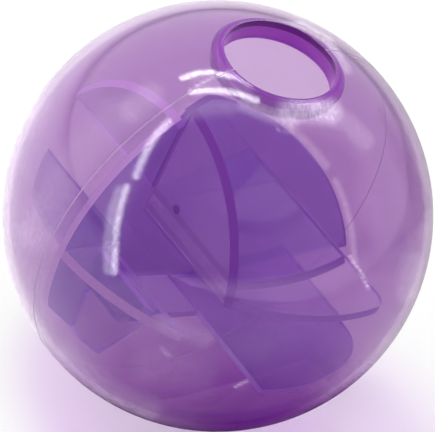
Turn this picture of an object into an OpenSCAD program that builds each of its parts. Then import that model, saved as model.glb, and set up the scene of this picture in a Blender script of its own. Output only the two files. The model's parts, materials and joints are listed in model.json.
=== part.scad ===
// Treat dispensing ball: two welded half shells round a maze of flat baffles.
// The ball's centre is ball_r above the origin. The treat hole is on top, its axis is +Z.
// The halves part on the YZ plane, so each of them holds half of the hole and of its collar.
// Millimetres throughout.

/* [Ball] */
// Outer diameter of the ball
ball_d = 127; // [100:1:160]
// Wall thickness of the two half shells
shell_t = 2.4; // [1.8:0.1:3.2]

/* [Treat hole] */
// Diameter of the hole that the treats go in and come out of
hole_d = 33.6; // [24:0.1:40]
// Wall thickness of the collar round the hole
collar_t = 2.4; // [1.6:0.1:3.2]
// Depth of the collar, from the rim of the hole to its inner end
collar_depth = 6.8; // [6:0.1:12]

/* [Seam] */
// Height of the tongue that stands on the left half and locates the right half
tongue_h = 2.6; // [2:0.1:4]
// Thickness of the tongue
tongue_t = 1.1; // [0.8:0.1:1.4]
// Clearance between the tongue and its groove
tongue_gap = 0.1; // [0.05:0.05:0.2]

/* [Maze] */
// Thickness of the divider plate, whose rim is held in the groove above the tongue
divider_t = 2.2; // [1.6:0.1:3]
// Thickness of the baffles
baffle_t = 2; // [1.4:0.1:2.6]
// Thickness of the corner baffle, which carries the outer baffle
corner_t = 3.2; // [2:0.1:4]
// Gap between the baffles and the inside of the shells
seat_gap = 0.2; // [0.1:0.05:0.4]
// Gap between two baffles that meet
joint_gap = 0.1; // [0.05:0.05:0.2]
// Space that the outer baffle and the lower entry fin leave below the shell
free_gap = 5.3; // [4:0.1:9]
// Space that the rear baffle leaves below the shell
rear_gap = 3.6; // [2:0.1:6]
// Radius of the entry baffle's rounded corner
entry_corner_r = 6; // [3:0.5:9]
// Radius of the rear baffle's rounded corner
rear_corner_r = 14; // [6:0.5:16]
// Height of the low sill above the divider plate
sill_h = 16; // [10:1:24]
// Diameter of the round ejector mark in the entry side baffle
mark_d = 2.8; // [2:0.1:4]
// Depth of the ejector mark
mark_depth = 0.4; // [0.2:0.1:0.6]

/* [Hidden] */
// Step past a face that every cut takes
overrun = 1;
// Radius of the bow in the divider plate's edge on the hole's side
bow_r = 164;

ball_r = ball_d / 2;
cavity_r = ball_r - shell_t;
seat_r = cavity_r - seat_gap;
free_r = cavity_r - free_gap;
rear_r = cavity_r - rear_gap;
hole_r = hole_d / 2;
collar_r = hole_r + collar_t;
tongue_r = cavity_r + tongue_t;
rim_z = sqrt(pow(ball_r, 2) - pow(hole_r, 2));
collar_z = rim_z - collar_depth;
maze_x = tongue_h + divider_t;

// Where each baffle starts and ends, seen along the X axis.
// Each pair is [Y, Z] from the ball's centre, as shares of the cavity's radius.
entry_shares = [[0.254, 0.213], [-0.582, 0.286]];
entry_side_shares = [[-0.582, 0.262], [-0.498, 1]];
guard_shares = [[-0.052, 0.510], [-0.594, 0.360]];
rear_shares = [[0.457, -0.296], [-0.249, -0.276]];
corner_shares = [[-0.715, 0.041], [-0.999, 0.083]];
outer_shares = [[-0.768, 0.049], [-0.768, -0.44]];
sill_shares = [[-0.262, -0.264], [-0.768, -0.156]];
lower_entry_shares = [[-0.569, 0.386], [-0.498, 1]];
lower_corner_shares = [[-0.639, 0.052], [-1, 0.073]];
// Slope of the outer baffle's free edge: [Z, X] near the corner baffle and near its foot
outer_edge_shares = [[-0.036, 0.498], [-0.368, 0.324]];
// Slope of the lower corner fin's foot: [Y, X] at its inner end and at the shell
fin_foot_shares = [[-0.639, -0.60], [-0.925, -0.363]];
// Middle of the ejector mark on the entry side baffle: [along the baffle, X]
mark_shares = [0.144, 0.246];
// The divider plate's bowed edge: how far from the centre, and in which direction [Y, Z]
bow_share = 0.535;
bow_way_shares = [0.69, 0.72];
// The treats' way round the back of the divider plate, as [Y, Z] corners
back_way_shares = [[1.1, -0.374], [0.05, -0.374], [-0.25, -0.285], [-0.63, -0.20], [-0.728, -0.26],
    [-0.728, -0.46], [-0.77, -0.46], [-0.955, -0.26], [-1.1, -0.10], [-1.1, -1.1], [1.1, -1.1]];

$fn = 128;

// A ball of radius r round the ball's centre
module centre_ball(r) {
    translate([0, 0, ball_r])
        sphere(r = r);
}

// A slab across the whole ball, from x0 to x1
module slab(x0, x1) {
    translate([x0, -ball_d, -ball_d])
        cube([x1 - x0, 3 * ball_d, 3 * ball_d]);
}

// A cylinder on the hole's axis, from height z0 above the ball's centre to past the ball
module on_hole_axis(r, z0) {
    translate([0, 0, ball_r + z0])
        cylinder(r = r, h = ball_r - z0 + overrun);
}

// The whole ball: a shell with the hole through it and the collar round the hole
module whole_shell() {
    difference() {
        centre_ball(ball_r);
        difference() {
            centre_ball(cavity_r);
            on_hole_axis(collar_r, collar_z);
        }
        on_hole_axis(hole_r, 0);
    }
}

// The space on the left half's side of the seam, with a step of height top and radius step_r
// that stops short of the collar by gap
module left_side(step_r, top, gap) {
    slab(-ball_d, 0);
    difference() {
        intersection() {
            centre_ball(step_r);
            slab(-tongue_h, top);
        }
        on_hole_axis(collar_r + gap, 0);
    }
}

module left_half_shell() {
    color("mediumorchid", 0.45)
    intersection() {
        whole_shell();
        left_side(tongue_r, tongue_h, tongue_gap);
    }
}

module right_half_shell() {
    color("mediumorchid", 0.45)
    difference() {
        whole_shell();
        left_side(tongue_r + tongue_gap, maze_x + tongue_gap, 0);
    }
}

// Outline seen along X, extruded along X from x0 over the thickness t.
// In the outline, x is the ball's Y and y is its height above the ball's centre.
module along_x(x0, t) {
    translate([x0, 0, ball_r])
        rotate([90, 0, 90])
            linear_extrude(height = t)
                children();
}

module divider_plate() {
    bow_centre = (bow_share * cavity_r - bow_r) * bow_way_shares / norm(bow_way_shares);
    color("darkorchid", 0.6)
    difference() {
        intersection() {
            along_x(tongue_h, divider_t)
                difference() {
                    intersection() {
                        circle(r = ball_r);
                        translate(bow_centre)
                            circle(r = bow_r);
                    }
                    polygon(back_way_shares * cavity_r);
                }
            centre_ball(tongue_r);
        }
        on_hole_axis(collar_r + tongue_gap, collar_z - tongue_gap);
    }
}

// Frame of a baffle that runs from shares ends[0] to ends[1]. In it, x is the ball's X,
// y runs along the baffle from its start, and z is across its thickness.
module baffle_frame(ends) {
    start = ends[0] * cavity_r;
    way = ends[1] - ends[0];
    translate([0, start[0], ball_r + start[1]])
        rotate([atan2(way[1], way[0]), 0, 0])
            children();
}

// What stands in a baffle's frame beyond one of its faces, on the side that side gives
module beyond(ends, side, t = baffle_t) {
    half = t / 2 + joint_gap;
    baffle_frame(ends)
        translate([-ball_d, -ball_d, side > 0 ? -half : half - ball_d])
            cube([2 * ball_d, 3 * ball_d, ball_d]);
}

// Cuts the corner where a baffle's start meets a shell of radius reach, leaving radius round_r.
// The round touches both the start's straight edge and the arc that the shell cuts.
module start_corner(ends, reach, round_r) {
    start = ends[0] * cavity_r;
    way = (ends[1] - ends[0]) / norm(ends[1] - ends[0]);
    arc_y = -start * way;
    arc_r = sqrt(pow(reach, 2) - pow(start[0] * way[1] - start[1] * way[0], 2));
    round_x = sqrt(pow(arc_r - round_r, 2) - pow(arc_y - round_r, 2));
    touch = [round_x, round_r - arc_y] * ball_d / (arc_r - round_r) + [0, arc_y];
    difference() {
        polygon([[round_x, round_r], touch, [round_x, -ball_d]]);
        translate([round_x, round_r])
            circle(r = round_r);
    }
}

// What stands in a baffle's frame on one side of a line through two points, up to the point far
module beside_line(ends, line, far) {
    step = (line[1] - line[0]) / norm(line[1] - line[0]) * ball_r;
    baffle_frame(ends)
        translate([0, 0, -baffle_t / 2 - overrun])
            linear_extrude(height = baffle_t + 2 * overrun)
                polygon([line[0] - step, line[1] + step, far]);
}

// A flat baffle with its outline in its own plane, from x0 to x1, cut to a ball of radius reach.
// round_r rounds its free corner at the start.
module baffle(ends, x0, x1, reach, t = baffle_t, round_r = 0) {
    long = norm(ends[1] - ends[0]) * cavity_r;
    intersection() {
        baffle_frame(ends)
            translate([0, 0, -t / 2])
                linear_extrude(height = t)
                    difference() {
                        translate([x0, 0])
                            square([x1 - x0, long]);
                        if (round_r > 0)
                            start_corner(ends, reach, round_r);
                    }
        centre_ball(reach);
    }
}

// Faces the hole, so that treats can't fall straight in or out
module entry_baffle() {
    color("darkviolet", 0.6)
    difference() {
        baffle(entry_shares, maze_x, ball_r, seat_r, round_r = entry_corner_r);
        beyond(entry_side_shares, 1);
    }
}

// Runs from the entry baffle's end out to the shell beside the hole
module entry_side_baffle() {
    color("mediumpurple", 0.6)
    difference() {
        baffle(entry_side_shares, maze_x, ball_r, seat_r);
        baffle_frame(entry_side_shares)
            translate([mark_shares[1] * cavity_r, mark_shares[0] * cavity_r, -baffle_t / 2 - overrun])
                cylinder(d = mark_d, h = mark_depth + overrun);
    }
}

// A second leaf between the hole and the entry baffle
module guard_baffle() {
    color("blueviolet", 0.6)
    difference() {
        baffle(guard_shares, maze_x, ball_r, seat_r);
        beyond(entry_side_shares, 1);
    }
}

// Stands free below the centre and leaves a way over its top
module rear_baffle() {
    color("rebeccapurple", 0.6)
    baffle(rear_shares, maze_x, ball_r, rear_r, round_r = rear_corner_r);
}

// Joins the shell on the side away from the hole's chamber
module corner_baffle() {
    color("mediumpurple", 0.6)
    baffle(corner_shares, maze_x, ball_r, seat_r, t = corner_t);
}

// Hangs from the corner baffle, with a sloping edge that leaves a way round it
module outer_baffle() {
    start = outer_shares[0][1];
    edge = [for (p = outer_edge_shares) [p[1], start - p[0]] * cavity_r];
    color("darkslateblue", 0.6)
    difference() {
        baffle(outer_shares, maze_x, ball_r, free_r);
        beyond(corner_shares, -1, corner_t);
        beside_line(outer_shares, edge, [ball_d, 0]);
    }
}

// A low wall between the rear baffle and the outer baffle
module sill_baffle() {
    color("indigo", 0.6)
    difference() {
        baffle(sill_shares, maze_x, maze_x + sill_h, seat_r);
        beyond(outer_shares, -1);
    }
}

// Hangs below the divider plate, in line with the entry side baffle
module lower_entry_fin() {
    color("mediumpurple", 0.6)
    baffle(lower_entry_shares, -ball_r, tongue_h, free_r);
}

// Hangs below the divider plate, in line with the corner baffle, with a sloping foot
module lower_corner_fin() {
    start = lower_corner_shares[0][0];
    foot = [for (p = fin_foot_shares) [p[1], start - p[0]] * cavity_r];
    color("mediumpurple", 0.6)
    difference() {
        baffle(lower_corner_shares, -ball_r, tongue_h, seat_r);
        beside_line(lower_corner_shares, foot, [-ball_d, ball_r]);
    }
}

left_half_shell();
right_half_shell();
divider_plate();
entry_baffle();
entry_side_baffle();
guard_baffle();
rear_baffle();
corner_baffle();
outer_baffle();
sill_baffle();
lower_entry_fin();
lower_corner_fin();
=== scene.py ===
import json
import math

import bmesh
import bpy
from mathutils import Matrix, Vector, noise


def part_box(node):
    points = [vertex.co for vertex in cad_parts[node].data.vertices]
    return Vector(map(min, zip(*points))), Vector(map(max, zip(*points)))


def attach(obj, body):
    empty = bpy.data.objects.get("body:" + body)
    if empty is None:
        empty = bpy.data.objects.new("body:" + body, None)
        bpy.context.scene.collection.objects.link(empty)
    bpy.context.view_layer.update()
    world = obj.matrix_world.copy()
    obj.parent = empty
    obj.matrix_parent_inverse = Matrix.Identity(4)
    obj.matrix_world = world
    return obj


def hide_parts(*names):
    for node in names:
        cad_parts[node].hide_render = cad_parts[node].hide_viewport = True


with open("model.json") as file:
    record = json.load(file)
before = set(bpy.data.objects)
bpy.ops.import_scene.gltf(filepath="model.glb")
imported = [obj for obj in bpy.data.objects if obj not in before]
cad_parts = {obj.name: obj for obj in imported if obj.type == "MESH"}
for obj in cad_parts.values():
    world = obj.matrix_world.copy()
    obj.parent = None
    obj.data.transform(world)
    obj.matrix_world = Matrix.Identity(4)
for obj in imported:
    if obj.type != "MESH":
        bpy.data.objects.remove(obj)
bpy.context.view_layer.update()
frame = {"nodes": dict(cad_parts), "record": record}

MM = 0.001

# Sizes that the frame gives
BALL_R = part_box("right_half_shell")[1].x
CENTRE = Vector((0, 0, BALL_R))
HOLE = next(m for m in frame["record"]["mounts"] if m["name"] == "treat_hole")
HOLE_R = HOLE["dims"]["r_mm"] * MM
COLLAR_DEPTH = HOLE["dims"]["length_mm"] * MM

# Sizes of the mouldings
WALL = 2.4 * MM
COLLAR_T = 2.4 * MM
RIM_ROUND = 0.5 * MM
INNER_ROUND = 0.8 * MM
SEAM_W = 0.16 * MM
SEAM_DEPTH = 0.08 * MM
SEAT_GAP = 0.2 * MM
CAVITY_R = BALL_R - WALL
COLLAR_R = HOLE_R + COLLAR_T

# How finely the half shells are cut
PROFILE_STEPS = 200
ROUND_STEPS = 6
SHELL_TURNS = 160
SEAM_TURN_LIMIT = math.radians(0.5)
SHARP_ANGLE = math.radians(25)

# How near to a face counts as on it or near it
ON_FACE = 0.01 * MM
NEAR_FACE = 0.2 * MM
BORE_MARGIN = 0.1 * MM
TINY = 1e-9

# Places of the materials in a half shell's list
SHELL_SLOT, WELD_SLOT, BORE_SLOT, SEAM_SLOT = range(4)

# The photograph's view, in the ball's frame
VIEW_BACK = Vector((0.5162, -0.5963, 0.6147)).normalized()
NEARLY_UP = Vector((-0.6563, 0.1857, 0.7313))
VIEW_RIGHT = NEARLY_UP.cross(VIEW_BACK).normalized()
VIEW_UP = VIEW_BACK.cross(VIEW_RIGHT)
VIEW_DISTANCE = 20 * BALL_R
CLIP_START = 0.01
CLIP_END = 20
SENSOR_W = 36

# The photograph's size, and the ball's middle and radius in it, in pixels
PHOTO_W = 435
PHOTO_H = 432
PHOTO_CENTRE = (217.3, 215.8)
PHOTO_R = 216

# The clear plastics. A tint is what a wall lets through of a white view, or of lamp light.
PLASTIC_IOR = 1.5
LAMP_TINT = (0.93, 0.80, 0.98)
SHELL_COLOUR = (0.64, 0.44, 0.715)
SHELL_ROUGHNESS = 0.02
SHELL_GLOSS = 0.5
BORE_COLOUR = (0.24, 0.03, 0.34)
# The collar's bore gives off a painted glow
BORE_PAINTED_GLOW = (0.06, 0.006, 0.10)
BORE_ROUGHNESS = 0.15
BORE_CLEARNESS = 0.7
BORE_GLOSS = 0.2
SEAM_COLOUR = (0.75, 0.60, 0.80)
SEAM_ROUGHNESS = 0.4
SEAM_CLEARNESS = 0.6
MARK_COLOUR = (0.2, 0.06, 0.45)
MARK_ROUGHNESS = 0.2
MARK_CLEARNESS = 0.95
LEAF_ROUGHNESS = 0.05
LEAF_GLOSS = 0.15

# Each kind of dull rim: its colour and its painted glow, which stands for light that the plate guides to its
# rim. The lighter and darker kinds are painted lit and shaded copies of one rim.
RIM_ROUGHNESS = 0.6
RIMS = {
    "light_rim": ((0.35, 0.25, 0.40), (0.44, 0.28, 0.52)),
    "band_rim": ((0.25, 0.15, 0.30), (0.38, 0.22, 0.47)),
    "mid_rim": ((0.2, 0.12, 0.26), (0.27, 0.13, 0.44)),
    "dark_rim": ((0.07, 0.03, 0.10), (0.225, 0.080, 0.39)),
    "joint_rim": ((0.03, 0.01, 0.05), (0.172, 0.060, 0.32)),
}

# Each leaf: its node, tint, share of light that goes through unscattered, and rim. The leaves are one violet
# plastic; the tints and shares that differ leaf to leaf are painted light and shade, for what each flat
# plate reflects.
LEAVES = {
    "divider": ("divider_plate", (0.58, 0.44, 0.86), 0.97, "light_rim"),
    "entry_leaf": ("entry_baffle", (0.91, 0.83, 0.97), 0.88, "mid_rim"),
    "entry_side_leaf": ("entry_side_baffle", (0.90, 0.82, 0.95), 0.87, "dark_rim"),
    "guard_leaf": ("guard_baffle", (0.81, 0.73, 0.97), 0.97, "mid_rim"),
    "rear_leaf": ("rear_baffle", (0.60, 0.42, 0.84), 0.97, "mid_rim"),
    "sill_leaf": ("sill_baffle", (0.72, 0.60, 0.92), 0.95, "dark_rim"),
    "corner_leaf": ("corner_baffle", (0.85, 0.78, 0.95), 0.97, "band_rim"),
    "outer_leaf": ("outer_baffle", (0.74, 0.57, 0.90), 0.95, "mid_rim"),
    "entry_fin": ("lower_entry_fin", (0.95, 0.90, 1.0), 0.93, "light_rim"),
    "corner_fin": ("lower_corner_fin", (0.80, 0.68, 0.94), 0.95, "mid_rim"),
}

# Places of the materials in each leaf's list
FACE, RIM, MARK, DARK_JOINT_AND_SHADED_RIM, CLEAR_JOINT, MID_JOINT, DEEP_JOINT = range(7)
# Which way the faces look that are moulded in one with another leaf or with the divider, and their material
JOINED = {
    "entry_leaf": [((-1, 0, 0), CLEAR_JOINT), ((0, -1, 0.1), DEEP_JOINT)],
    "entry_side_leaf": [((-1, 0, 0), DARK_JOINT_AND_SHADED_RIM), ((0, -0.1, -1), DEEP_JOINT)],
    "guard_leaf": [((-1, 0, 0), CLEAR_JOINT), ((0, -1, 0.1), DEEP_JOINT)],
    "rear_leaf": [((-1, 0, 0), CLEAR_JOINT)],
    "sill_leaf": [((-1, 0, 0), CLEAR_JOINT)],
    "corner_leaf": [((-1, 0, 0), MID_JOINT), ((0, 1, -0.1), MID_JOINT)],
    "outer_leaf": [((-1, 0, 0), CLEAR_JOINT), ((0, 0.1, 1), MID_JOINT)],
    "entry_fin": [((1, 0, 0), MID_JOINT)],
    "corner_fin": [((1, 0, 0), MID_JOINT)],
}
# Least cosine of a joined face to its way in the table, and greatest of a rim face to its leaf's flat
JOINED_SLOPE = 0.98
RIM_SLOPE = 0.9
# Digits to which the ways of faces are alike
NORMAL_DIGITS = 2

# The leaf with the round ejector mark, whose faces also give off a painted glow
MARKED_LEAF = "entry_side_leaf"
MARKED_LEAF_PAINTED_GLOW = (0.050, 0.034, 0.060)
MARK_MARGIN = 0.1 * MM

# The leaf whose rim is painted light up to a line left of the ball's middle, where the strips' light falls
# on it, and painted shade to the right of it
SPLIT_RIM_LEAF = "divider"
LIGHT_RIM_END = -0.15 * BALL_R

# The fin with a rounder corner than its node: its edge in millimetres, and the height of the plate there
TRIMMED_LEAF = "corner_fin"
TRIM_EDGE = [
    (-37.8, -37.4), (-34, -42.1), (-30.2, -46.1), (-25.7, -50.2), (-22, -53.1), (-16.8, -55.8), (-11.8, -57),
    (-7.2, -57.9), (-4.1, -57.8),
]
TRIM_START = 0.639 * BALL_R
TRIM_HEIGHT = BALL_R * 1.052
TRIM_FALL = 0.0582

# The floor, the painted shadows on it and the lights
WHITE = (1, 1, 1)
MATT_ROUGHNESS = 0.9
FLOOR_HALF = 3
FLOOR_COLOUR = (0.9, 0.9, 0.9)
FLOOR_LIFT = 0.1
FLOOR_GAP = 0.2 * MM
WORLD_LIGHT = 0.35
KEY_WAY = (-0.13, 0.92, 0.37)
KEY_SIZE = 0.35
KEY_DISTANCE = 1
KEY_LIGHT = 0.97
# Each painted violet shadow on the floor: its middle and radius in ball radii, and its colour
PAINTED_SHADOWS = {
    "painted_contact_shadow": ((0.44, 0.35), 0.83, (0.54, 0.08, 0.68)),
    "front_shade": ((1.0, 0.05), 0.75, (0.30, 0.07, 0.42)),
}
PATCH_FADE = 0.75

# The cards of painted reflections that the ball mirrors: their rings, and how many rings' width stays free
# at the outline
CARD_RINGS = 120
CARD_TURNS = 360
CARD_EDGE = 0.5
CARD_DISTANCE = 0.15
# The colour of the painted dark reflections
CARD_COLOUR = (0.02, 0.02, 0.02)
# The studio's card stands in front of the room's, so that the room doesn't hide its lights
ROOM_REACH = 0.75
ROOM_NEARNESS = 1
STUDIO_REACH = 1
STUDIO_NEARNESS = 0.95

# The painted dark reflection of a room in the arch of strips, in the photograph's pixels
ROOM = [
    (172, 124), (152, 150), (137, 185), (124, 220), (117, 275), (140, 273), (165, 272), (200, 279),
    (240, 282), (290, 277), (330, 267), (352, 261), (375, 250), (358, 215), (354, 190), (358, 165),
    (347, 148), (325, 137), (300, 128), (262, 116), (215, 114),
]
ROOM_SOFT = 0.035

# The painted dark reflection of a crescent at the right, in pixels
CRESCENT = [
    (378, 110), (404, 150), (419, 180), (427, 206), (424, 218), (410, 234), (393, 246), (405, 225),
    (409, 208), (401, 178), (388, 150),
]
CRESCENT_SOFT = 0.03

# The painted dark reflection along a line beside the arch, in pixels, with its half width in ball radii and
# its shade
ASIDE = [(322, 144), (336, 160), (348, 180), (361, 240), (366, 262)]
ASIDE_WIDTH = 0.08
ASIDE_SHADE = 0.6

# Where the painted dark reflection of the floor and the painted dim right side come up: the distance out,
# and its share down or right
LOW_OUT = (0.6, 0.8)
LOW_DOWN = (0.6, 0.9)
DIM_OUT = (0.35, 0.7)
DIM_RIGHT = (0.35, 0.9)
DIM_SHADE = 0.5

# Painted reflections of soft lights, and painted glints of scratches and scuffs: half width in ball radii,
# brightness, and the line in pixels that the ball mirrors them along
GLOWS = {
    "left strip, upper part": (0.026, 10, [(170, 124), (160, 134), (151, 147), (144, 162), (138, 177)]),
    "left strip, lower part": (0.022, 10, [(129, 187), (124, 204), (119, 228), (117, 271)]),
    "left strip, soft side": (0.038, 4, [(122, 191), (115, 212), (111, 238), (111, 268)]),
    "upper top strip, left end": (0.018, 16, [(183, 81), (198, 76), (213, 75)]),
    "upper top strip, right end": (0.018, 16, [(219, 77), (236, 80), (250, 87)]),
    "lower top strip": (0.02, 16, [(192, 95), (208, 93), (225, 94), (240, 97), (256, 103)]),
    "haze between the top strips": (0.05, 1.5, [(195, 80), (245, 92)]),
    "painted glint of the scratch between the top strips": (0.007, 7, [(195, 90), (232, 72)]),
    "haze under the hole": (0.085, 6, [(288, 113), (308, 112), (327, 114)]),
    "haze at the collar": (0.035, 3, [(292, 105), (314, 107)]),
    "haze right of the hole": (0.07, 1.5, [(320, 112), (345, 125), (362, 142)]),
    "haze over the arch": (0.05, 3.5, [(244, 107), (266, 117), (290, 125)]),
    "haze under the top strips": (0.06, 1, [(192, 114), (228, 110)]),
    "far side of the collar": (0.03, 1.2, [(245, 38), (265, 27), (300, 27), (328, 42), (346, 72)]),
    "painted glint of the loop over the arch": (0.008, 3, [(275, 131), (284, 135), (292, 134)]),
    "glint at the entry leaf's end": (0.010, 5, [(347, 256), (357, 270), (366, 287)]),
    "glint at the bottom": (0.008, 4, [(234, 384), (246, 378)]),
    "painted glint of the scuff at the lower left": (0.018, 1.6, [(163, 346), (171, 353)]),
    "haze over the scuff": (0.06, 1.2, [(165, 320), (205, 336)]),
    "haze under the scuff": (0.12, 0.6, [(150, 362), (200, 372)]),
    "haze at the upper left": (0.09, 2, [(135, 112), (152, 98)]),
    "haze over the lower fins": (0.13, 1.05, [(42, 232), (58, 196), (88, 150), (118, 118)]),
    "haze at the lower left": (0.08, 0.35, [(70, 350), (110, 388), (150, 405)]),
    "haze at the right edge": (0.08, 0.45, [(408, 262), (403, 290)]),
    "haze at the left edge": (0.25, 0.4, [(25, 120), (10, 190), (18, 260), (34, 305)]),
    "right strip, upper part": (0.032, 1.9, [(289, 130), (304, 144), (323, 166)]),
    "right strip, lower part": (0.022, 2.2, [(333, 181), (341, 200), (348, 225), (352, 260)]),
}
# The share of a line's half width that is at full strength, and the painted grain of the painted lights
LINE_CORE = 0.2
PAINTED_GRAIN = 0.8
PAINTED_GRAIN_FINENESS = 110

# How often a ray is followed through clear walls, and from mirror to mirror
CLEAR_BOUNCES = 32
MIRROR_BOUNCES = 8


def to_mesh(name, bm):
    """A new mesh of what bm holds. It frees bm."""
    mesh = bpy.data.meshes.new(name)
    bm.to_mesh(mesh)
    bm.free()
    return mesh


def add_object(name, data):
    """A new object in the scene."""
    obj = bpy.data.objects.new(name, data)
    bpy.context.scene.collection.objects.link(obj)
    return obj


def add_piece(name, mesh, node):
    """A piece of the visual model, which stands for a CAD node."""
    piece = add_object(name, mesh)
    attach(piece, "root")
    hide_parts(node)


def corner_round(points, index, radius):
    """points with the corner at index replaced by a smooth round that starts radius away."""
    corner = points[index]

    def back_off(direction):
        i = index
        left = radius
        here = corner
        while True:
            i += direction
            there = points[i]
            gap = (there - here).length
            if gap >= left:
                return i, here + (there - here) * (left / gap)
            left -= gap
            here = there

    before, start = back_off(-1)
    after, end = back_off(1)
    bend = []
    for k in range(ROUND_STEPS + 1):
        t = k / ROUND_STEPS
        bend.append(start * (1 - t) ** 2 + corner * 2 * t * (1 - t) + end * t ** 2)
    return points[: before + 1] + bend + points[after:]


def arc(radius, start, end):
    """Points of a circle from angle start to angle end, counted from the top."""
    turns = [start + (end - start) * k / PROFILE_STEPS for k in range(PROFILE_STEPS + 1)]
    return [Vector((math.sin(a), math.cos(a))) * radius for a in turns]


def shell_profile():
    """Half section of the shell round the hole's axis: (distance from the axis, height over the centre)."""
    outer = arc(BALL_R, math.pi, math.asin(HOLE_R / BALL_R))
    outer[0].x = 0
    inner = arc(CAVITY_R, math.asin(COLLAR_R / CAVITY_R), math.pi)
    inner[-1].x = 0
    collar_z = outer[-1].y - COLLAR_DEPTH
    points = outer + [Vector((HOLE_R, collar_z)), Vector((COLLAR_R, collar_z))] + inner
    # The last corner is rounded first, so that the places of the others stay
    rim, bore_end, collar_end, collar_root = range(PROFILE_STEPS, PROFILE_STEPS + 4)
    points = corner_round(points, collar_root, INNER_ROUND)
    for corner in (collar_end, bore_end, rim):
        points = corner_round(points, corner, RIM_ROUND)
    return points


def shell_ring(bm, point, side):
    """The half turn of a profile point, with both ends sunk in the seam's groove if it lies outside."""
    radius = point.x
    if radius < TINY:
        return [bm.verts.new((0, 0, BALL_R + point.y))]
    groove = min(math.asin(min(1, SEAM_W / radius)), SEAM_TURN_LIMIT)
    turns = [-math.pi / 2, groove - math.pi / 2]
    turns += [math.pi * (k / SHELL_TURNS - 0.5) for k in range(1, SHELL_TURNS)]
    turns += [math.pi / 2 - groove, math.pi / 2]
    places = [Vector((side * radius * math.cos(a), radius * math.sin(a), point.y)) for a in turns]
    for end in (places[0], places[-1]):
        if point.length > BALL_R - ON_FACE:
            end *= 1 - SEAM_DEPTH / BALL_R
        end.x = 0
    return [bm.verts.new(place + CENTRE) for place in places]


def join_rings(bm, low, high):
    """Faces between two rings. The outer ones at both ends take the seam's material."""
    count = max(len(low), len(high)) - 1
    outside = (low[0].co - CENTRE).length > BALL_R - NEAR_FACE
    for k in range(count):
        corners = []
        for ring, step in ((low, 0), (low, 1), (high, 1), (high, 0)):
            v = ring[min(k + step, len(ring) - 1)]
            if v not in corners:
                corners.append(v)
        at_end = k in (0, count - 1)
        bm.faces.new(corners).material_index = SEAM_SLOT if at_end and outside else SHELL_SLOT


def mark_bore(mesh):
    """Gives the collar's bore and the ring at its inner end their own material."""
    top = BALL_R + math.sqrt(BALL_R ** 2 - HOLE_R ** 2) - NEAR_FACE
    for face in mesh.polygons:
        corners = [mesh.vertices[v].co for v in face.vertices]
        in_hole = all(BALL_R < v.z < top and math.hypot(v.x, v.y) < COLLAR_R - BORE_MARGIN for v in corners)
        if in_hole and face.material_index == SHELL_SLOT:
            face.material_index = BORE_SLOT


def half_shell(name, side):
    """One half of the ball, on the side of X that side gives, with a fine groove along the seam."""
    bm = bmesh.new()
    rings = [shell_ring(bm, point, side) for point in shell_profile()]
    for low, high in zip(rings, rings[1:]):
        join_rings(bm, low, high)
    start_cap = [ring[0] for ring in rings]
    end_cap = [ring[-1] for ring in rings if len(ring) > 1]
    weld = bm.faces.new(start_cap + end_cap[::-1])
    weld.material_index = WELD_SLOT
    bmesh.ops.triangulate(bm, faces=[weld])
    bmesh.ops.recalc_face_normals(bm, faces=bm.faces)
    mesh = to_mesh(name, bm)
    mark_bore(mesh)
    mesh.shade_smooth()
    mesh.set_sharp_from_angle(angle=SHARP_ANGLE)
    return mesh


def new_material(name, colour, roughness):
    """A material with nodes, and its shader."""
    mat = bpy.data.materials.new(name)
    mat.use_nodes = True
    shader = mat.node_tree.nodes["Principled BSDF"]
    shader.inputs["Base Color"].default_value = (*colour, 1)
    shader.inputs["Roughness"].default_value = roughness
    return mat, shader


def clear_shader(tree, colour=WHITE):
    """A shader that lets light straight through, tinted by colour."""
    clear = tree.nodes.new("ShaderNodeBsdfTransparent")
    clear.inputs["Color"].default_value = (*colour, 1)
    return clear.outputs["BSDF"]


def blend(tree, share, first, second):
    """The first shader where share is 0, the second where it is 1, and a mix between."""
    mix = tree.nodes.new("ShaderNodeMixShader")
    tree.links.new(share, mix.inputs["Fac"])
    tree.links.new(first, mix.inputs[1])
    tree.links.new(second, mix.inputs[2])
    return mix.outputs["Shader"]


def set_surface(tree, output):
    """Makes a shader's output the material's surface."""
    tree.links.new(output, tree.nodes["Material Output"].inputs["Surface"])


def set_glow(shader, colour):
    """Lets a shader give off light of the colour."""
    shader.inputs["Emission Color"].default_value = (*colour, 1)
    shader.inputs["Emission Strength"].default_value = 1


def clear_plastic(name, colour, roughness, clearness, gloss=SHELL_GLOSS, glow=None):
    """A plastic that tints what is seen through it by colour, and lamp light by LAMP_TINT, at each wall."""
    mat, shader = new_material(name, colour, roughness)
    shader.inputs["IOR"].default_value = PLASTIC_IOR
    shader.inputs["Specular IOR Level"].default_value = gloss
    shader.inputs["Transmission Weight"].default_value = clearness
    if glow:
        set_glow(shader, glow)
    tree = mat.node_tree
    path = tree.nodes.new("ShaderNodeLightPath")
    lamp_way = clear_shader(tree, [math.sqrt(c) for c in LAMP_TINT])
    set_surface(tree, blend(tree, path.outputs["Is Shadow Ray"], shader.outputs["BSDF"], lamp_way))
    return mat


def rim_material(name, colour, glow):
    """The dull rim of a clear plate, with a painted glow that stands for the light that the plate guides to
    it.
    """
    mat, shader = new_material(name, colour, RIM_ROUGHNESS)
    set_glow(shader, glow)
    return mat


def weld_material():
    """The welded faces between the halves, and leaf faces moulded in one, where nothing shows."""
    mat = bpy.data.materials.new("weld")
    mat.use_nodes = True
    set_surface(mat.node_tree, clear_shader(mat.node_tree))
    return mat


def matt_material(name, colour):
    """A dull material, and its shader."""
    mat, shader = new_material(name, colour, MATT_ROUGHNESS)
    shader.inputs["Specular IOR Level"].default_value = 0
    return mat, shader


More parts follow.
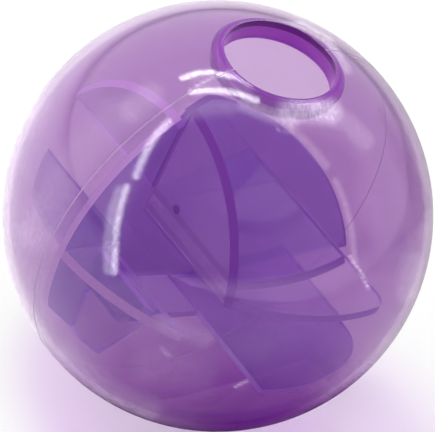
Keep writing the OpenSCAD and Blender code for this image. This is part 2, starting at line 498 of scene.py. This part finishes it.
def make_shells(weld_mat):
    """Both halves of the ball."""
    materials = [
        clear_plastic("clear_violet", SHELL_COLOUR, SHELL_ROUGHNESS, 1),
        weld_mat,
        # The collar's bore has a painted glow
        clear_plastic("collar_bore", BORE_COLOUR, BORE_ROUGHNESS, BORE_CLEARNESS, BORE_GLOSS, BORE_PAINTED_GLOW),
        clear_plastic("seam", SEAM_COLOUR, SEAM_ROUGHNESS, SEAM_CLEARNESS),
    ]
    for name, side in (("left_half", -1), ("right_half", 1)):
        mesh = half_shell(name, side)
        for mat in materials:
            mesh.materials.append(mat)
        add_piece(name, mesh, f"{name}_shell")


def trim(mesh, flat):
    """Cuts the plate mesh, whose large faces look along flat, back to TRIM_EDGE."""
    edge = [
        Vector((x * MM, y * MM, TRIM_HEIGHT - TRIM_FALL * (y * MM + TRIM_START))) for x, y in TRIM_EDGE
    ]
    bm = bmesh.new()
    bm.from_mesh(mesh)
    middle = sum((v.co for v in bm.verts), Vector()) / len(bm.verts)
    for a, b in zip(edge, edge[1:]):
        outward = (b - a).cross(flat).normalized()
        if outward.dot(middle - a) > 0:
            outward = -outward
        cutting = bmesh.ops.bisect_plane(
            bm, geom=bm.verts[:] + bm.edges[:] + bm.faces[:], plane_co=a, plane_no=outward, clear_outer=True,
        )
        cut_edges = [e for e in cutting["geom_cut"] if isinstance(e, bmesh.types.BMEdge)]
        bmesh.ops.edgenet_fill(bm, edges=cut_edges)
    bmesh.ops.recalc_face_normals(bm, faces=bm.faces)
    bm.to_mesh(mesh)
    bm.free()


def leaf_mesh(name, node):
    """A copy of a CAD baffle that stops inside the shell, also where the CAD rim runs in a groove."""
    source = frame["nodes"][node]
    mesh = source.data.copy()
    mesh.name = name
    reach = CAVITY_R - SEAT_GAP
    turn = source.matrix_world
    for v in mesh.vertices:
        at = turn @ v.co - CENTRE
        if at.length > reach:
            at *= reach / at.length
        v.co = at + CENTRE
    return mesh


def flat_way(mesh):
    """Which way a plate's large faces look."""
    areas = {}
    for face in mesh.polygons:
        side = tuple(round(c, NORMAL_DIGITS) for c in face.normal)
        areas[side] = areas.get(side, 0) + face.area
    return Vector(max(areas, key=areas.get)).normalized()


def joined_slot(name, face):
    """The material of a face that is moulded in one with another piece, or None for a free face."""
    for way, slot in JOINED.get(name, ()):
        if face.normal.dot(Vector(way).normalized()) > JOINED_SLOPE:
            return slot
    return None


def paint(name, mesh, flat):
    """Gives a leaf's faces their materials. The mark's floor lies between the two large faces."""
    depths = [face.center.dot(flat) for face in mesh.polygons]
    mark_from = min(depths) + MARK_MARGIN
    mark_to = max(depths) - MARK_MARGIN
    for face, depth in zip(mesh.polygons, depths):
        joined = joined_slot(name, face)
        if joined is not None:
            face.material_index = joined
        elif abs(face.normal.dot(flat)) < RIM_SLOPE:
            # Painted shade: the divider's rim right of the line takes the dark rim; its left part keeps the
            # light rim as painted light
            dark = name == SPLIT_RIM_LEAF and (face.center - CENTRE).dot(VIEW_RIGHT) > LIGHT_RIM_END
            face.material_index = DARK_JOINT_AND_SHADED_RIM if dark else RIM
        elif name == MARKED_LEAF and mark_from < depth < mark_to:
            face.material_index = MARK
        else:
            face.material_index = FACE


def make_leaves(weld_mat):
    """All baffles and fins of the maze."""
    rims = {name: rim_material(name, *look) for name, look in RIMS.items()}
    mark_mat = clear_plastic("ejector_mark", MARK_COLOUR, MARK_ROUGHNESS, MARK_CLEARNESS, 0)
    single = [mark_mat, rims["dark_rim"], weld_mat, rims["mid_rim"], rims["joint_rim"]]
    for name, (node, tint, clearness, rim) in LEAVES.items():
        # The marked leaf's faces give off a painted glow
        glow = MARKED_LEAF_PAINTED_GLOW if name == MARKED_LEAF else None
        # Each leaf's tint holds painted light and shade besides the plastic's violet
        face_mat = clear_plastic(name, tint, LEAF_ROUGHNESS, clearness, LEAF_GLOSS, glow)
        mesh = leaf_mesh(name, node)
        mesh.materials.clear()
        for mat in [face_mat, rims[rim]] + single:
            mesh.materials.append(mat)
        flat = flat_way(mesh)
        if name == TRIMMED_LEAF:
            trim(mesh, flat)
        paint(name, mesh, flat)
        add_piece(name, mesh, node)


def ray_switch(tree, outputs):
    """A value that is 1 on the given kinds of ray and 0 on the others."""
    path = tree.nodes.new("ShaderNodeLightPath")
    value = path.outputs[outputs[0]]
    for output in outputs[1:]:
        either = tree.nodes.new("ShaderNodeMath")
        either.operation = "MAXIMUM"
        tree.links.new(value, either.inputs[0])
        tree.links.new(path.outputs[output], either.inputs[1])
        value = either.outputs[0]
    return value


def square_mesh(name, half_width, mat):
    """A level square round its own middle."""
    bm = bmesh.new()
    bmesh.ops.create_grid(bm, x_segments=1, y_segments=1, size=half_width)
    mesh = to_mesh(name, bm)
    mesh.materials.append(mat)
    return mesh


def make_floor():
    """A plain pale floor, with a little glow to the camera that lifts it to white round the shadow."""
    mat, shader = matt_material("floor", FLOOR_COLOUR)
    set_glow(shader, WHITE)
    tree = mat.node_tree
    lift = tree.nodes.new("ShaderNodeMath")
    lift.operation = "MULTIPLY"
    lift.inputs[1].default_value = FLOOR_LIFT
    tree.links.new(ray_switch(tree, ["Is Camera Ray"]), lift.inputs[0])
    tree.links.new(lift.outputs[0], shader.inputs["Emission Strength"])
    add_object("floor", square_mesh("floor", FLOOR_HALF, mat))


def painted_shadow_material(name, radius, colour):
    """A painted shadow colour that fades out towards radius, over PATCH_FADE of it."""
    mat, shader = matt_material(name, colour)
    tree = mat.node_tree
    place = tree.nodes.new("ShaderNodeTexCoord")
    grow = tree.nodes.new("ShaderNodeVectorMath")
    grow.operation = "SCALE"
    grow.inputs["Scale"].default_value = 1 / radius
    fade = tree.nodes.new("ShaderNodeTexGradient")
    fade.gradient_type = "SPHERICAL"
    soften = tree.nodes.new("ShaderNodeMapRange")
    soften.interpolation_type = "SMOOTHSTEP"
    soften.inputs["From Max"].default_value = PATCH_FADE
    tree.links.new(place.outputs["Object"], grow.inputs[0])
    tree.links.new(grow.outputs["Vector"], fade.inputs["Vector"])
    tree.links.new(fade.outputs["Fac"], soften.inputs["Value"])
    set_surface(tree, blend(tree, soften.outputs["Result"], clear_shader(tree), shader.outputs["BSDF"]))
    return mat


def make_painted_shadow(name, middle, share, colour):
    """A painted violet shadow on the floor, which shows through the ball and in its mirror images only."""
    radius = share * BALL_R
    patch = add_object(name, square_mesh(name, radius, painted_shadow_material(name, radius, colour)))
    patch.location = (*(c * BALL_R for c in middle), FLOOR_GAP)
    patch.visible_camera = False
    patch.visible_diffuse = False
    patch.visible_shadow = False


def make_world():
    """A white studio that lights the scene less than it shows."""
    world = bpy.data.worlds.new("studio")
    bpy.context.scene.world = world
    world.use_nodes = True
    tree = world.node_tree
    back = tree.nodes["Background"]
    back.inputs["Color"].default_value = (*WHITE, 1)
    strength = tree.nodes.new("ShaderNodeMapRange")
    strength.inputs["To Min"].default_value = WORLD_LIGHT
    strength.inputs["To Max"].default_value = 1
    seen = ray_switch(tree, ["Is Camera Ray", "Is Glossy Ray", "Is Transmission Ray"])
    tree.links.new(seen, strength.inputs["Value"])
    tree.links.new(strength.outputs["Result"], back.inputs["Strength"])


def to_world(right, up, back):
    """A way that is given in the photograph's view, in the ball's frame."""
    return VIEW_RIGHT * right + VIEW_UP * up + VIEW_BACK * back


def make_key():
    """A square lamp that no mirror image shows. A white face square to it is as bright as KEY_LIGHT."""
    lamp = bpy.data.lights.new("key", "AREA")
    lamp.shape = "SQUARE"
    lamp.size = KEY_SIZE
    lamp.energy = KEY_LIGHT * math.pi ** 2 * KEY_DISTANCE ** 2
    z = to_world(*KEY_WAY).normalized()
    x = z.orthogonal().normalized()
    y = z.cross(x)
    key = add_object("key", lamp)
    key.matrix_world = (
        Matrix.Translation(CENTRE + z * KEY_DISTANCE) @ Matrix((x, y, z)).transposed().to_4x4()
    )
    key.visible_glossy = False
    key.visible_transmission = False


def mirrored(spot, distance):
    """The place that the ball mirrors to the camera at spot, as far from the ball as distance.
    A spot is (right, up) from the middle of the ball's outline, in ball radii."""
    right, up = spot
    back = math.sqrt(1 - right ** 2 - up ** 2)
    start = CENTRE + to_world(right, up, back) * BALL_R
    return start + to_world(2 * back * right, 2 * back * up, 2 * back ** 2 - 1) * distance


def card_place(spot, nearness):
    """Where a card stands for spot: nearness of the way to CARD_DISTANCE or, if nearer, to the floor."""
    near = mirrored(spot, 0)
    way = mirrored(spot, 1) - near
    reach = CARD_DISTANCE
    if way.z < 0:
        reach = min(reach, (near.z - FLOOR_GAP) / -way.z)
    return near + way * reach * nearness


def card_mesh(name, reach_out, nearness, shade, glow):
    """Rings of card places, which keep the shade and the glow of their spots."""
    bm = bmesh.new()
    shade_layer = bm.verts.layers.float.new("shade")
    glow_layer = bm.verts.layers.float.new("glow")

    def corner(radius, turn):
        spot = (radius * math.cos(turn), radius * math.sin(turn))
        v = bm.verts.new(card_place(spot, nearness))
        v[shade_layer] = shade(spot)
        v[glow_layer] = glow(spot)
        return v

    turns = [2 * math.pi * n / CARD_TURNS for n in range(CARD_TURNS)]
    rings = []
    for k in range(1, CARD_RINGS + 1):
        radius = reach_out * math.sin(math.pi / 2 * k / (CARD_RINGS + CARD_EDGE))
        rings.append([corner(radius, turn) for turn in turns])
    hub = corner(0, 0)
    for n in range(CARD_TURNS):
        m = (n + 1) % CARD_TURNS
        bm.faces.new((hub, rings[0][n], rings[0][m]))
        for inner, outer in zip(rings, rings[1:]):
            bm.faces.new((inner[n], outer[n], outer[m], inner[m]))
    return to_mesh(name, bm)


def stored(tree, name):
    """A value that the mesh keeps at each of its corners."""
    node = tree.nodes.new("ShaderNodeAttribute")
    node.attribute_name = name
    return node.outputs["Fac"]


def card_material(name):
    """Painted dark reflection by the stored shade, clear elsewhere, and painted highlight by the stored
    glow.
    """
    mat, shader = matt_material(name, CARD_COLOUR)
    tree = mat.node_tree
    light = tree.nodes.new("ShaderNodeEmission")
    light.inputs["Color"].default_value = (*WHITE, 1)
    tree.links.new(stored(tree, "glow"), light.inputs["Strength"])
    both = tree.nodes.new("ShaderNodeAddShader")
    dark = blend(tree, stored(tree, "shade"), clear_shader(tree), shader.outputs["BSDF"])
    tree.links.new(dark, both.inputs[0])
    tree.links.new(light.outputs["Emission"], both.inputs[1])
    set_surface(tree, both.outputs["Shader"])
    return mat


def mirror_card(name, reach_out, nearness, shade, glow):
    """A card of painted reflections round the ball, which shows in its mirror images only, for the spots as
    far out as reach_out.
    At each spot it hides the share of the white studio that shade gives, and adds the light that glow gives.
    """
    mesh = card_mesh(name, reach_out, nearness, shade, glow)
    mesh.materials.append(card_material(name))
    card = add_object(name, mesh)
    card.visible_camera = False
    card.visible_diffuse = False
    card.visible_transmission = False
    card.visible_shadow = False
    return card


def ramp(value, start, end):
    """0 before start, 1 after end, and smooth between them."""
    t = min(1, max(0, (value - start) / (end - start)))
    return t * t * (3 - 2 * t)


def distance_to(spots, spot):
    """How far a spot is from the line through spots."""
    x, y = spot
    nearest = math.inf
    for (ax, ay), (bx, by) in zip(spots, spots[1:]):
        run = (bx - ax) ** 2 + (by - ay) ** 2
        t = min(1, max(0, ((x - ax) * (bx - ax) + (y - ay) * (by - ay)) / run))
        nearest = min(nearest, math.hypot(ax + (bx - ax) * t - x, ay + (by - ay) * t - y))
    return nearest


def inside(outline, spot, soft):
    """How far a spot lies inside the outline: 1 well inside, 0 outside, and soft at the edge."""
    x, y = spot
    closed = outline + outline[:1]
    within = False
    for (ax, ay), (bx, by) in zip(closed, closed[1:]):
        if (ay > y) != (by > y) and x < ax + (bx - ax) * (y - ay) / (by - ay):
            within = not within
    away = distance_to(closed, spot)
    return ramp(away if within else -away, -soft, soft)


def near_line(spots, spot, width):
    """1 near the line through spots, and less beside it, down to 0 at width."""
    return 1 - ramp(distance_to(spots, spot), LINE_CORE * width, width)


def photo_spots(pixels):
    """Places in the photograph as spots on the ball."""
    return [((x - PHOTO_CENTRE[0]) / PHOTO_R, (PHOTO_CENTRE[1] - y) / PHOTO_R) for x, y in pixels]


ROOM_SPOTS = photo_spots(ROOM)
CRESCENT_SPOTS = photo_spots(CRESCENT)
ASIDE_SPOTS = photo_spots(ASIDE)
GLOW_SPOTS = [(photo_spots(pixels), width, light) for width, light, pixels in GLOWS.values()]


def room_shade(spot):
    """Painted dark reflection of the room in the arch of strips."""
    return inside(ROOM_SPOTS, spot, ROOM_SOFT)


def no_glow(spot):
    """No light anywhere."""
    return 0


def studio_shade(spot):
    """Painted dark reflections: the dark floor near the lens, the dim right side, the crescent and the line
    beside the arch.
    """
    x, y = spot
    radius = max(math.hypot(x, y), TINY)
    low = ramp(radius, *LOW_OUT) * ramp(-y / radius, *LOW_DOWN)
    dim = DIM_SHADE * ramp(radius, *DIM_OUT) * ramp(x / radius, *DIM_RIGHT)
    crescent = inside(CRESCENT_SPOTS, spot, CRESCENT_SOFT)
    aside = ASIDE_SHADE * near_line(ASIDE_SPOTS, spot, ASIDE_WIDTH)
    return 1 - (1 - low) * (1 - dim) * (1 - crescent) * (1 - aside)


def studio_glow(spot):
    """Painted reflections of the strips and hazes, and painted glints, with a painted grain."""
    grain = 1 + PAINTED_GRAIN * noise.noise(Vector((*spot, 0)) * PAINTED_GRAIN_FINENESS)
    return grain * sum(light * near_line(spots, spot, width) for spots, width, light in GLOW_SPOTS)


def make_camera():
    """The photograph's view: the ball's outline has the photograph's radius and place."""
    data = bpy.data.cameras.new("camera")
    data.sensor_width = SENSOR_W
    spread = BALL_R / math.sqrt(VIEW_DISTANCE ** 2 - BALL_R ** 2)
    data.lens = PHOTO_R / PHOTO_W * SENSOR_W / spread
    data.clip_start = CLIP_START
    data.clip_end = CLIP_END
    data.shift_x = (PHOTO_W / 2 - PHOTO_CENTRE[0]) / PHOTO_W
    data.shift_y = (PHOTO_CENTRE[1] - PHOTO_H / 2) / PHOTO_W
    camera = add_object("camera", data)
    camera.matrix_world = (
        Matrix.Translation(CENTRE + VIEW_BACK * VIEW_DISTANCE)
        @ Matrix((VIEW_RIGHT, VIEW_UP, VIEW_BACK)).transposed().to_4x4()
    )
    bpy.context.scene.camera = camera


weld_mat = weld_material()
make_shells(weld_mat)
make_leaves(weld_mat)

make_floor()
# Painted violet shadows on the floor, seen through the ball and in its mirror images
for name, look in PAINTED_SHADOWS.items():
    make_painted_shadow(name, *look)
make_world()
make_key()
# Painted dark reflection of a room, mirrored by the ball and seen through it
room = mirror_card("painted_dark_room_reflection", ROOM_REACH, ROOM_NEARNESS, room_shade, no_glow)
# The mirror images on the ball's inner wall show the painted room reflection too
room.visible_transmission = True
# Painted reflections of the strips and hazes, painted glints, and painted dark reflections
mirror_card("painted_studio_reflections", STUDIO_REACH, STUDIO_NEARNESS, studio_shade, studio_glow)
make_camera()

scene = bpy.context.scene
scene.view_settings.view_transform = "Standard"
scene.cycles.max_bounces = CLEAR_BOUNCES
scene.cycles.transmission_bounces = CLEAR_BOUNCES
scene.cycles.transparent_max_bounces = CLEAR_BOUNCES
scene.cycles.glossy_bounces = MIRROR_BOUNCES
scene.cycles.caustics_refractive = False
scene.cycles.caustics_reflective = False
